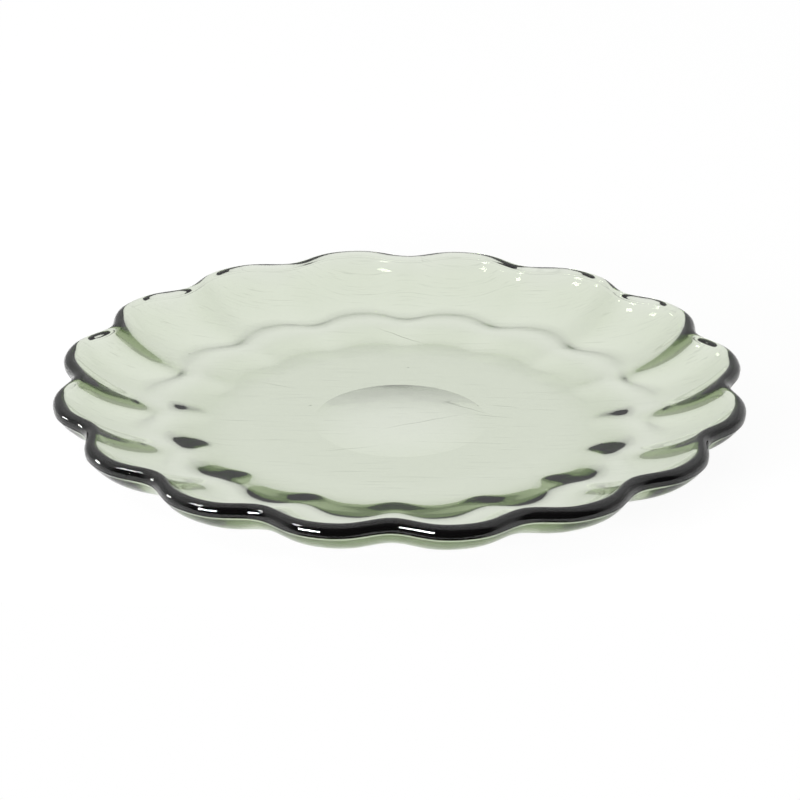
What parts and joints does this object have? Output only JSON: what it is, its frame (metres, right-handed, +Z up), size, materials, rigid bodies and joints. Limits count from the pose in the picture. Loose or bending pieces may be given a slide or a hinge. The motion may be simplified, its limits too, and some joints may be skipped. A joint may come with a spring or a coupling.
{
  "type": "breakfast plate",
  "caption": "Round scalloped plate of clear green pressed glass, with a flat well, a fluted wall of petals, a rounded wavy rim and a flat foot.",
  "frame": {"origin": "centre of the flat foot, on the surface that the plate stands on", "axes": "+Z up along the plate's axis; -Y through the notch between two petals, with the petals spaced evenly around Z"},
  "size_m": [0.207, 0.207, 0.0171],
  "materials": {
    "green_glass": "clear pale grey-green pressed soda-lime glass, fire polished, with fine wear scratches in the well"
  },
  "bodies": {
    "root": {"glass_plate": "green_glass"}
  },
  "joints": []
}
